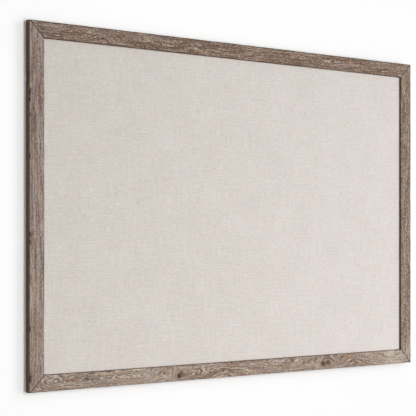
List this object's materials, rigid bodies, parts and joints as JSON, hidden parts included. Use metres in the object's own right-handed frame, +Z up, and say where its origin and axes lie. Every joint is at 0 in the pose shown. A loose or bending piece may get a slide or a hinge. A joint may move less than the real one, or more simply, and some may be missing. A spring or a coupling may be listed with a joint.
{
  "type": "linen bulletin board",
  "caption": "Wall-hung pinning board: linen stretched over a cork core in a mitred, weathered timber frame with ring hangers on the back.",
  "frame": {"origin": "middle of the board on the wall plane, where the bumpers touch the wall", "axes": "+X to the right seen from the front, +Y into the wall (the front faces -Y), +Z up"},
  "size_m": [0.914, 0.0168, 0.61],
  "materials": {
    "timber": "weathered, limed grey-brown, matt",
    "linen": "off-white plain-weave linen with slubs",
    "cork": "raw agglomerated cork",
    "hardboard": "raw brown hardboard",
    "steel": "plain spring steel",
    "plated_steel": "bright nickel plate",
    "rubber": "matt"
  },
  "bodies": {
    "board": {"top_rail": "timber", "right_stile": "timber", "bottom_rail": "timber", "left_stile": "timber", "linen_cover": "linen", "cork_core": "cork", "backing_board": "hardboard", "point_top_1": "steel", "point_top_2": "steel", "point_top_3": "steel", "point_top_4": "steel", "point_top_5": "steel", "point_bottom_1": "steel", "point_bottom_2": "steel", "point_bottom_3": "steel", "point_bottom_4": "steel", "point_bottom_5": "steel", "point_left_1": "steel", "point_left_2": "steel", "point_left_3": "steel", "point_right_1": "steel", "point_right_2": "steel", "point_right_3": "steel", "v_nail_top_right_outer": "steel", "v_nail_top_right_inner": "steel", "v_nail_bottom_right_outer": "steel", "v_nail_bottom_right_inner": "steel", "v_nail_bottom_left_outer": "steel", "v_nail_bottom_left_inner": "steel", "v_nail_top_left_outer": "steel", "v_nail_top_left_inner": "steel", "bumper_top_left": "rubber", "bumper_top_right": "rubber", "bumper_bottom_left": "rubber", "bumper_bottom_right": "rubber", "hanger_strap_left": "plated_steel", "hanger_strap_right": "plated_steel", "hanger_screw_left": "plated_steel", "hanger_screw_right": "plated_steel"},
    "left_ring": {"hanger_ring_left": "plated_steel"},
    "right_ring": {"hanger_ring_right": "plated_steel"}
  },
  "joints": [
    {"name": "left_ring_swing", "type": "hinge", "parent": "board", "child": "left_ring", "pos_m": [-0.4462, -0.00205, 0.205], "axis": [-1, 0, 0], "range_deg": [-3, 177]},
    {"name": "right_ring_swing", "type": "hinge", "parent": "board", "child": "right_ring", "pos_m": [0.4462, -0.00205, 0.205], "axis": [-1, 0, 0], "range_deg": [-3, 177]}
  ]
}
